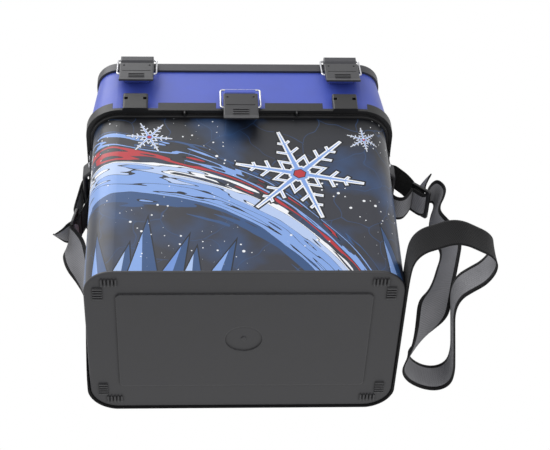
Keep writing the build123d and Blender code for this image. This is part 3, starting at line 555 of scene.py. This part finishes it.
    # Flying snow: dots up to 3 mm across, in drifts
    snow = add(tree, "ShaderNodeTexVoronoi", {"Vector": place, "Scale": 1 / 15}, voronoi_dimensions="2D")
    lot = add(tree, "ShaderNodeSeparateColor", {0: snow.outputs["Color"]})
    drifts = add(tree, "ShaderNodeTexNoise", {"Vector": place, "Scale": 1 / 75, "Detail": 1.0},
                 noise_dimensions="2D").outputs[0]
    size = add(tree, "ShaderNodeMapRange",
               {"Value": drifts, "From Min": 0.5, "From Max": 0.68, "To Max": 0.15}).outputs[0]
    size = add(tree, "ShaderNodeMath", {0: size, 1: lot.outputs[0]}, operation="MULTIPLY").outputs[0]
    dots = add(tree, "ShaderNodeMath", {0: snow.outputs["Distance"], 1: size},
               operation="LESS_THAN").outputs[0]
    coat = add(tree, "ShaderNodeMix", {"Factor": dots, 6: coat, 7: white}, data_type="RGBA").outputs[2]
    # The sheet's back, inside the box, is left plain
    facing = add(tree, "ShaderNodeNewGeometry").outputs["True Normal"]
    level = add(tree, "ShaderNodeVectorMath", {0: where, 1: (1.0, 1.0, 0.0)},
                operation="MULTIPLY").outputs[0]
    outward = add(tree, "ShaderNodeVectorMath", {0: facing, 1: level},
                  operation="DOT_PRODUCT").outputs["Value"]
    back = add(tree, "ShaderNodeMath", {0: outward, 1: 0.0}, operation="LESS_THAN").outputs[0]
    coat = add(tree, "ShaderNodeMix", {"Factor": back, 6: coat, 7: colours.print_ground[:]},
               data_type="RGBA").outputs[2]
    # The film lies on its sheet with a wave of about 0.1 mm over 60 mm, and is handled in patches of 30 mm
    wave = add(tree, "ShaderNodeTexNoise", {"Vector": where, "Scale": 1 / 0.06, "Detail": 1.0}).outputs[0]
    handled = add(tree, "ShaderNodeTexNoise",
                  {"Vector": where, "Scale": 1 / 0.03, "Detail": 4.0}).outputs[0]
    rough = add(tree, "ShaderNodeMapRange", {"Value": handled, "From Min": 0.3, "From Max": 0.7,
                                             "To Min": 0.33, "To Max": 0.39}).outputs[0]
    bump = add(tree, "ShaderNodeBump", {"Height": wave, "Strength": 0.25, "Distance": 0.001}).outputs[0]
    shader = add(tree, "ShaderNodeBsdfPrincipled", {
        "Base Color": coat, "Roughness": rough, "IOR": 1.46, "Specular IOR Level": 0.4, "Normal": bump})
    finish_with(tree, shader)
    return material


def woven(name, shade, border_shade, border):
    """Polyester webbing: matt ribs across the strap, packed warp threads, dull sheen, fuzzed edges."""
    sizes = bpy.context.scene.fishing_box_sizes
    material, tree = new_material(name)
    weave = add(tree, "ShaderNodeUVMap", uv_map="webbing").outputs[0]
    axes = add(tree, "ShaderNodeSeparateXYZ", {0: weave})
    turns = 2 * math.pi / sizes.thread
    # Ribs at the real 1.3 mm pitch would be finer than a pixel, so they are drawn at twice that
    rib = add(tree, "ShaderNodeMath", {0: axes.outputs[1], 1: turns}, operation="MULTIPLY").outputs[0]
    warp = add(tree, "ShaderNodeMath", {0: axes.outputs[0], 1: turns * 0.5},
               operation="MULTIPLY").outputs[0]
    shift = add(tree, "ShaderNodeMath", {0: warp, 1: 0.5, 2: rib}, operation="MULTIPLY_ADD").outputs[0]
    rib = add(tree, "ShaderNodeMath", {0: shift}, operation="SINE").outputs[0]
    warp = add(tree, "ShaderNodeMath", {0: warp}, operation="SINE").outputs[0]
    relief = add(tree, "ShaderNodeMath", {0: rib, 1: warp}, operation="MULTIPLY").outputs[0]
    where = add(tree, "ShaderNodeTexCoord").outputs["Object"]
    # Fuzz of loose fibres about 2 mm long, soiling in patches of 50 mm
    fuzz = add(tree, "ShaderNodeTexNoise", {"Vector": where, "Scale": 1 / 0.0022, "Detail": 3.0}).outputs[0]
    soil = add(tree, "ShaderNodeTexNoise", {"Vector": where, "Scale": 1 / 0.05, "Detail": 3.0}).outputs[0]
    middle = add(tree, "ShaderNodeMath", {0: axes.outputs[0], 1: sizes.strap_width / 2},
                 operation="SUBTRACT").outputs[0]
    middle = add(tree, "ShaderNodeMath", {0: middle}, operation="ABSOLUTE").outputs[0]
    limit = add(tree, "ShaderNodeMath", {0: fuzz, 1: 0.0006, 2: sizes.strap_width / 2 - border - 0.0003},
                operation="MULTIPLY_ADD").outputs[0]
    trim = add(tree, "ShaderNodeMath", {0: middle, 1: limit}, operation="GREATER_THAN").outputs[0]
    tone = add(tree, "ShaderNodeMath", {0: relief, 1: 0.22, 2: 1.0}, operation="MULTIPLY_ADD").outputs[0]
    tint = add(tree, "ShaderNodeMapRange", {"Value": soil, "From Min": 0.3, "From Max": 0.7, "To Min": 0.86,
                                            "To Max": 1.1}).outputs[0]
    tone = add(tree, "ShaderNodeMath", {0: tone, 1: tint}, operation="MULTIPLY").outputs[0]
    thread = add(tree, "ShaderNodeMix", {"Factor": trim, 6: shade, 7: border_shade},
                 data_type="RGBA").outputs[2]
    base = add(tree, "ShaderNodeVectorMath", {0: thread, 3: tone}, operation="SCALE").outputs[0]
    bump = add(tree, "ShaderNodeBump", {"Height": relief, "Strength": 0.5, "Distance": 0.0004}).outputs[0]
    shader = add(tree, "ShaderNodeBsdfPrincipled", {
        "Base Color": base, "Roughness": 0.85, "IOR": 1.5, "Specular IOR Level": 0.2, "Sheen Weight": 0.1,
        "Sheen Roughness": 0.5, "Normal": bump})
    finish_with(tree, shader)
    return material


def foam_skin(shade):
    """Closed-cell foam with a heat-pressed skin: matt pebble grain, darker in the pressed channels."""
    sizes = bpy.context.scene.fishing_box_sizes
    material, tree = new_material("pressed_foam")
    where = add(tree, "ShaderNodeTexCoord").outputs["Object"]
    # Pebbles of the pressed skin are about 3 mm, its paler patches 60 mm
    pebble = add(tree, "ShaderNodeTexVoronoi", {"Vector": where, "Scale": 1 / 0.0032}).outputs["Distance"]
    patch = add(tree, "ShaderNodeTexNoise", {"Vector": where, "Scale": 1 / 0.06, "Detail": 3.0}).outputs[0]
    axes = add(tree, "ShaderNodeSeparateXYZ", {0: where})
    first = add(tree, "ShaderNodeMath", {0: axes.outputs[0], 1: axes.outputs[1]},
                operation="ADD").outputs[0]
    first = add(tree, "ShaderNodeMath", {0: first, 1: sizes.channel_pitch}, operation="PINGPONG").outputs[0]
    second = add(tree, "ShaderNodeMath", {0: axes.outputs[0], 1: axes.outputs[1]},
                 operation="SUBTRACT").outputs[0]
    second = add(tree, "ShaderNodeMath", {0: second, 1: sizes.channel_pitch},
                 operation="PINGPONG").outputs[0]
    channel = add(tree, "ShaderNodeMath", {0: first, 1: second}, operation="MINIMUM").outputs[0]
    pressed = add(tree, "ShaderNodeMapRange",
                  {"Value": channel, "From Max": sizes.channel_width / math.sqrt(2)},
                  interpolation_type="SMOOTHSTEP").outputs[0]
    tone = add(tree, "ShaderNodeMapRange", {"Value": patch, "From Min": 0.3, "From Max": 0.7, "To Min": 0.8,
                                            "To Max": 1.2}).outputs[0]
    dark = add(tree, "ShaderNodeMapRange", {"Value": pressed, "To Min": 0.6, "To Max": 1.0}).outputs[0]
    tone = add(tree, "ShaderNodeMath", {0: tone, 1: dark}, operation="MULTIPLY").outputs[0]
    base = add(tree, "ShaderNodeVectorMath", {0: shade[:3], 3: tone}, operation="SCALE").outputs[0]
    bump = add(tree, "ShaderNodeBump", {"Height": pebble, "Strength": 0.4, "Distance": 0.0004}).outputs[0]
    shader = add(tree, "ShaderNodeBsdfPrincipled", {
        "Base Color": base, "Roughness": 0.78, "IOR": 1.48, "Specular IOR Level": 0.35, "Normal": bump})
    finish_with(tree, shader)
    return material


def put_in_scene(name, mesh, body):
    """Links a finished mesh as a piece that moves with a body."""
    piece = bpy.data.objects.new(name, mesh)
    bpy.context.scene.collection.objects.link(piece)
    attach(piece, body)
    return piece


def put_in_order(work, points):
    """Fixes the order of points, edges and faces, since the operators' own changes from run to run."""
    for i, vertex in enumerate(points):
        vertex.index = i
    work.verts.sort()
    for items in (work.edges, work.faces):
        ordered = sorted(items, key=lambda item: sorted(vertex.index for vertex in item.verts))
        for i, item in enumerate(ordered):
            item.index = i
        items.sort()


def read_spline(points):
    """Points along a smooth spline that has the given control points."""
    curve = bpy.data.curves.new("webbing_line", "CURVE")
    curve.dimensions = "3D"
    curve.resolution_u = 6
    spline = curve.splines.new("NURBS")
    spline.points.add(len(points) - 1)
    for control, point in zip(spline.points, points):
        control.co = (*point, 1.0)
    spline.order_u = 3
    spline.use_endpoint_u = True
    line = bpy.data.objects.new("webbing_line", curve)
    bpy.context.scene.collection.objects.link(line)
    bpy.context.view_layer.update()
    mesh = bpy.data.meshes.new_from_object(line.evaluated_get(bpy.context.evaluated_depsgraph_get()))
    found = [vertex.co.copy() for vertex in mesh.vertices]
    bpy.data.meshes.remove(mesh)
    bpy.data.objects.remove(line)
    bpy.data.curves.remove(curve)
    return found


def ribbon(name, route, materials):
    """A flat band along a route: its edges are smooth splines, and rows of points are extruded along them.

    Gives the piece, its middle line and its length.
    """
    sizes = bpy.context.scene.fishing_box_sizes
    half = sizes.strap_width / 2
    middles = [Vector(stop[0]) / 1000 for stop in route]
    left, right = [], []
    for i, middle in enumerate(middles):
        before, after = middles[max(i - 1, 0)], middles[min(i + 1, len(middles) - 1)]
        heading = (after - before).normalized()
        width = Vector(route[i][1])
        width = (width - heading * width.dot(heading)).normalized()
        left.append(middle - width * half)
        right.append(middle + width * half)
    pairs = list(zip(read_spline(left), read_spline(right)))
    line = [(a + b) / 2 for a, b in pairs]
    mesh = bpy.data.meshes.new(name)
    work = bmesh.new()
    layer = work.loops.layers.uv.new("webbing")
    spread = {}
    travelled = 0.0
    row = None
    for i, (a, b) in enumerate(pairs):
        width = (b - a).normalized()
        heading = (line[min(i + 1, len(line) - 1)] - line[max(i - 1, 0)]).normalized()
        face = heading.cross(width).normalized()
        travelled += (line[i] - line[i - 1]).length if i else 0.0
        if row is None:
            row = [work.verts.new() for step in WEBBING_ROWS]
            rungs = [work.edges.new(two) for two in zip(row, row[1:])]
        else:
            grown = bmesh.ops.extrude_edge_only(work, edges=rungs)["geom"]
            fresh = {item for item in grown if isinstance(item, bmesh.types.BMVert)}
            row = [next(e.other_vert(vertex) for e in vertex.link_edges if e.other_vert(vertex) in fresh)
                   for vertex in row]
            rungs = [work.edges.get(two) for two in zip(row, row[1:])]
        for vertex, step in zip(row, WEBBING_ROWS):
            vertex.co = line[i] + width * (step * half) + face * (WEBBING_BOW * (1 - step * step))
            spread[vertex] = ((step + 1) * half, travelled)
    put_in_order(work, list(spread))
    work.normal_update()
    work.faces.ensure_lookup_table()
    first = work.faces[0]
    heading = (line[1] - line[0]).normalized()
    if first.normal.dot(heading.cross(pairs[0][1] - pairs[0][0])) < 0:
        bmesh.ops.reverse_faces(work, faces=work.faces)
    for each in work.faces:
        each.smooth = True
        for loop in each.loops:
            loop[layer].uv = spread[loop.vert]
    work.to_mesh(mesh)
    work.free()
    for material in materials:
        mesh.materials.append(material)
    piece = put_in_scene(name, mesh, "box")
    thick = piece.modifiers.new("thickness", "SOLIDIFY")
    thick.thickness = sizes.strap_thickness
    thick.offset = 0.0
    thick.material_offset = 1
    thick.material_offset_rim = 1
    return piece, line, travelled


class FISHINGBOX_OT_stage(bpy.types.Operator):
    """Places the camera, the softboxes, the white room and the floor"""
    bl_idname = "fishing_box.stage"
    bl_label = "Set the stage"

    def execute(self, context):
        scene = context.scene
        setup = scene.fishing_box_stage
        scene.view_settings.view_transform = "Standard"
        back = Vector((math.sin(setup.azimuth) * math.cos(setup.elevation),
                       -math.cos(setup.azimuth) * math.cos(setup.elevation), math.sin(setup.elevation)))
        level = (-back).cross(Vector((0, 0, 1))).normalized()
        rise = level.cross(-back)
        c, s = math.cos(setup.roll), math.sin(setup.roll)
        turn = Matrix((level * c - rise * s, level * s + rise * c, back)).transposed()
        lens = bpy.data.cameras.new("camera")
        lens.lens = setup.lens
        lens.sensor_width = 36.0
        lens.clip_end = 20.0
        camera = bpy.data.objects.new("camera", lens)
        camera.matrix_world = Matrix.Translation(Vector(setup.eye)) @ turn.to_4x4()
        scene.collection.objects.link(camera)
        scene.camera = camera
        lamps = (("key", Vector(setup.key_place), setup.key_size, setup.key_power),
                 ("fill", Vector(setup.fill_place), setup.fill_size, setup.fill_power))
        for name, place, size, power in lamps:
            light = bpy.data.lights.new(name, "AREA")
            light.size = size
            light.energy = power
            lamp = bpy.data.objects.new(name, light)
            facing = (Vector(setup.aim) - place).to_track_quat("-Z", "Y").to_matrix().to_4x4()
            lamp.matrix_world = Matrix.Translation(place) @ facing
            scene.collection.objects.link(lamp)
        world = bpy.data.worlds.new("white_room")
        world.use_nodes = True
        tree = world.node_tree
        tree.nodes.clear()
        path = add(tree, "ShaderNodeLightPath")
        seen = add(tree, "ShaderNodeMath",
                   {0: path.outputs["Is Camera Ray"], 1: path.outputs["Is Glossy Ray"]},
                   operation="MAXIMUM")
        seen = add(tree, "ShaderNodeMath", {0: seen.outputs[0], 1: path.outputs["Is Transmission Ray"]},
                   operation="MAXIMUM")
        room = add(tree, "ShaderNodeBackground", {"Color": colour("FFFFFF"), "Strength": setup.ambient})
        shown = add(tree, "ShaderNodeBackground", {"Color": colour("FFFFFF"), "Strength": 1.0})
        both = add(tree, "ShaderNodeMixShader",
                   {0: seen.outputs[0], 1: room.outputs[0], 2: shown.outputs[0]})
        add(tree, "ShaderNodeOutputWorld", {"Surface": both.outputs[0]})
        scene.world = world
        # Floor: pale paper just under the box; the view from below looks through it
        mesh = bpy.data.meshes.new("floor")
        work = bmesh.new()
        bmesh.ops.create_grid(work, x_segments=1, y_segments=1, size=setup.floor_reach,
                              matrix=Matrix.Translation((0, 0, -setup.floor_gap)))
        work.to_mesh(mesh)
        work.free()
        material, tree = new_material("pale_paper")
        where = add(tree, "ShaderNodeTexCoord").outputs["Object"]
        fibre = add(tree, "ShaderNodeTexNoise",
                    {"Vector": where, "Scale": 1 / 0.02, "Detail": 4.0}).outputs[0]
        shade = add(tree, "ShaderNodeValToRGB", {"Fac": fibre},
                    stops=[(0.3, colour("ECECEC")), (0.7, colour("F2F2F2"))])
        paper = add(tree, "ShaderNodeBsdfDiffuse", {"Color": shade.outputs[0]})
        through = add(tree, "ShaderNodeBsdfTransparent")
        under = add(tree, "ShaderNodeNewGeometry").outputs["Backfacing"]
        both = add(tree, "ShaderNodeMixShader", {0: under, 1: paper.outputs[0], 2: through.outputs[0]})
        finish_with(tree, both)
        mesh.materials.append(material)
        floor = bpy.data.objects.new("floor", mesh)
        floor.visible_shadow = False
        floor.visible_diffuse = False
        floor.visible_glossy = False
        floor.visible_transmission = False
        scene.collection.objects.link(floor)
        return {"FINISHED"}


class FISHINGBOX_OT_strap(bpy.types.Operator):
    """Lays the webbing: the shoulder strap between the two sliders and the loops round the brackets"""
    bl_idname = "fishing_box.strap"
    bl_label = "Lay the strap"

    def execute(self, context):
        colours = context.scene.fishing_box_finish
        sizes = context.scene.fishing_box_sizes
        face = woven("webbing_face", colours.webbing[:], colours.webbing_edge[:], sizes.strap_border)
        reverse = woven("webbing_reverse", colours.webbing_edge[:], colours.webbing_edge[:], 0.0)
        loop_right = ribbon("webbing_loop_right", RIGHT_LOOP, (face, reverse))[0]
        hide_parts("strap_loop_right")
        loop_left = ribbon("webbing_loop_left", LEFT_LOOP, (face, reverse))[0]
        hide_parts("strap_loop_left")
        strap, line, length = ribbon("shoulder_strap", SHOULDER_STRAP, (face, reverse))
        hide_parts("strap_run_right", "strap_floor", "strap_run_left")
        return {"FINISHED"}


class FISHINGBOX_OT_seat(bpy.types.Operator):
    """Makes the seat: a pad of foam with a rolled edge, a low crown and crossing pressed channels"""
    bl_idname = "fishing_box.seat"
    bl_label = "Make the seat"

    def execute(self, context):
        sizes = context.scene.fishing_box_sizes
        low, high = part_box("seat_pad")
        mesh = bpy.data.meshes.new("foam_seat")
        work = bmesh.new()
        corners = [work.verts.new((x, y, low.z)) for x, y in
                   ((low.x, low.y), (high.x, low.y), (high.x, high.y), (low.x, high.y))]
        work.faces.new(corners)
        bmesh.ops.bevel(work, geom=corners, offset=sizes.seat_corner, offset_type="OFFSET",
                        affect="VERTICES", segments=8, profile=0.5, material=-1)
        tall = high.z - low.z
        grown = bmesh.ops.extrude_face_region(work, geom=work.faces[:])
        top = [item for item in grown["geom"] if isinstance(item, bmesh.types.BMFace)]
        lift = [item for item in grown["geom"] if isinstance(item, bmesh.types.BMVert)]
        bmesh.ops.translate(work, verts=lift, vec=(0, 0, tall * SEAT_WALL))
        for inward, upward in (*SEAT_ROLL, (CHANNEL_END, 0.0)):
            bmesh.ops.inset_region(work, faces=top, thickness=inward, depth=tall * upward)
        work.normal_update()

        def ceiling():
            """Faces of the pad's level top."""
            return [face for face in work.faces
                    if face.normal.z > 0.99 and face.calc_center_median().z > high.z - 0.001]

        # Channels run along both diagonals, where x + y or x - y is a whole multiple of the repeat
        repeat = 2 * sizes.channel_pitch
        flank = sizes.channel_width / math.sqrt(2)
        count = int((high.x + high.y) / repeat)
        for sign in (1, -1):
            for i in range(-count, count + 1):
                for side in CHANNEL_CUTS:
                    faces = ceiling()
                    parts = dict.fromkeys(faces)
                    for face in faces:
                        parts.update(dict.fromkeys([*face.edges, *face.verts]))
                    bmesh.ops.bisect_plane(work, geom=list(parts), plane_no=(1, sign, 0),
                                           plane_co=(i * repeat + side * flank, 0, 0))
        flat = set(ceiling())
        inner = [vertex for vertex in work.verts if all(face in flat for face in vertex.link_faces)]
        half_x, half_y = (high.x - low.x) / 2, (high.y - low.y) / 2
        for vertex in work.verts:
            if vertex.co.z > high.z - 0.002:
                swell = (1 - (vertex.co.x / half_x) ** 2) * (1 - (vertex.co.y / half_y) ** 2)
                vertex.co.z += sizes.seat_crown * max(0.0, swell) ** 0.5
        for vertex in inner:
            lines = (vertex.co.x + vertex.co.y, vertex.co.x - vertex.co.y)
            away = min(abs((u + repeat / 2) % repeat - repeat / 2) for u in lines)
            near = max(0.0, 1 - away / flank)
            vertex.co.z -= sizes.channel_depth * near * near * (3 - 2 * near)
        put_in_order(work, sorted(work.verts, key=lambda vertex: vertex.co[:]))
        bmesh.ops.recalc_face_normals(work, faces=work.faces)
        for each in work.faces:
            each.smooth = True
        work.to_mesh(mesh)
        work.free()
        mesh.materials.append(foam_skin(context.scene.fishing_box_finish.seat_foam[:]))
        piece = put_in_scene("foam_seat", mesh, "lid")
        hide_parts("seat_pad")
        return {"FINISHED"}


class FISHINGBOX_OT_printed_wall(bpy.types.Operator):
    """Prints the wall of the main compartment"""
    bl_idname = "fishing_box.printed_wall"
    bl_label = "Print the wall"

    def execute(self, context):
        dress("body_wrap", printed_film(context.scene.fishing_box_finish))
        return {"FINISHED"}


class FISHINGBOX_OT_mouldings(bpy.types.Operator):
    """Finishes the moulded base, collar, upper section and lid"""
    bl_idname = "fishing_box.mouldings"
    bl_label = "Finish the mouldings"

    def execute(self, context):
        colours = context.scene.fishing_box_finish
        # The base's foot panel has softly rounded edges; the wider rounding also widens its paler edge
        # band, which is partly a painted highlight
        blacks = {"base_tray": ("moulded_black_polypropylene", colours.black_plastic[:], 2.8),
                  # The collar's darker colour is painted shade under its flange
                  "collar": ("moulded_collar_polypropylene_painted_shade", colours.shaded_collar_plastic[:], 1.0),
                  "lid_shell": ("moulded_lid_polypropylene", colours.lid_plastic[:], 1.0)}
        blue = moulded("moulded_blue_polypropylene", colours.blue_plastic[:], roughness=0.44,
                       grain_depth=0.0001, variation=0.06)
        for node, (name, shade, rounding) in blacks.items():
            dress(node, moulded(name, shade, roughness=0.47, grain_depth=0.0003, rounding=rounding))
        dress("section_tub", blue)
        return {"FINISHED"}


class FISHINGBOX_OT_latches(bpy.types.Operator):
    """Finishes the levers, bails and pins"""
    bl_idname = "fishing_box.latches"
    bl_label = "Finish the latches"

    def execute(self, context):
        colours = context.scene.fishing_box_finish
        lever = moulded("moulded_latch_nylon", colours.latch_plastic[:], roughness=0.42, grain_depth=0.0002)
        wire = drawn_metal("bright_stainless_wire", colour("C2C2C6"), roughness=0.24, spacing=0.0012)
        steel = drawn_metal("drawn_steel_bar", colour("B4B4B8"), roughness=0.32, spacing=0.001)
        for node in ("centre_lever", "left_lever", "right_lever"):
            dress(node, lever)
        for node in ("centre_bail", "left_bail", "right_bail"):
            dress(node, wire)
        for node in ("section_hinge_pins", "lid_hinge_pins", "centre_latch_pin", "lid_latch_pins"):
            dress(node, steel)
        return {"FINISHED"}


class FISHINGBOX_OT_brackets(bpy.types.Operator):
    """Finishes the strap brackets, their rivets and the strap's sliders"""
    bl_idname = "fishing_box.brackets"
    bl_label = "Finish the brackets"

    def execute(self, context):
        colours = context.scene.fishing_box_finish
        bow = moulded("moulded_bracket_nylon", colours.latch_plastic[:], roughness=0.5, grain_depth=0.0002)
        acetal = moulded("moulded_slider_acetal", colours.webbing_edge[:], roughness=0.38,
                         grain_depth=0.0001)
        rivet = drawn_metal("headed_aluminium", colour("C8C8CC"), roughness=0.3, spacing=0.0015)
        for node in ("strap_bracket_left", "strap_bracket_right"):
            dress(node, bow)
        for node in ("slider_right", "slider_left"):
            dress(node, acetal)
        dress("bracket_rivets", rivet)
        return {"FINISHED"}


class FISHINGBOX_PT_panel(bpy.types.Panel):
    """Steps and settings of the fishing box"""
    bl_idname = "FISHINGBOX_PT_panel"
    bl_label = "Fishing Box"
    bl_space_type = "VIEW_3D"
    bl_region_type = "UI"
    bl_category = "Fishing Box"

    def draw(self, context):
        for step in STEPS:
            self.layout.operator(step.bl_idname)
        for group in (context.scene.fishing_box_finish, context.scene.fishing_box_sizes,
                      context.scene.fishing_box_stage):
            for key in group.__annotations__:
                self.layout.prop(group, key)


STEPS = (FISHINGBOX_OT_stage, FISHINGBOX_OT_strap, FISHINGBOX_OT_seat, FISHINGBOX_OT_printed_wall,
         FISHINGBOX_OT_mouldings, FISHINGBOX_OT_latches, FISHINGBOX_OT_brackets)
CLASSES = (FinishSettings, SizeSettings, StageSettings, *STEPS, FISHINGBOX_PT_panel)


def register():
    for each in CLASSES:
        bpy.utils.register_class(each)
    bpy.types.Scene.fishing_box_finish = bpy.props.PointerProperty(type=FinishSettings)
    bpy.types.Scene.fishing_box_sizes = bpy.props.PointerProperty(type=SizeSettings)
    bpy.types.Scene.fishing_box_stage = bpy.props.PointerProperty(type=StageSettings)


def unregister():
    del bpy.types.Scene.fishing_box_stage
    del bpy.types.Scene.fishing_box_sizes
    del bpy.types.Scene.fishing_box_finish
    for each in reversed(CLASSES):
        bpy.utils.unregister_class(each)


def main():
    register()
    bpy.ops.fishing_box.stage()
    bpy.ops.fishing_box.strap()
    bpy.ops.fishing_box.seat()
    bpy.ops.fishing_box.printed_wall()
    bpy.ops.fishing_box.mouldings()
    bpy.ops.fishing_box.latches()
    bpy.ops.fishing_box.brackets()


if __name__ == "__main__":
    main()
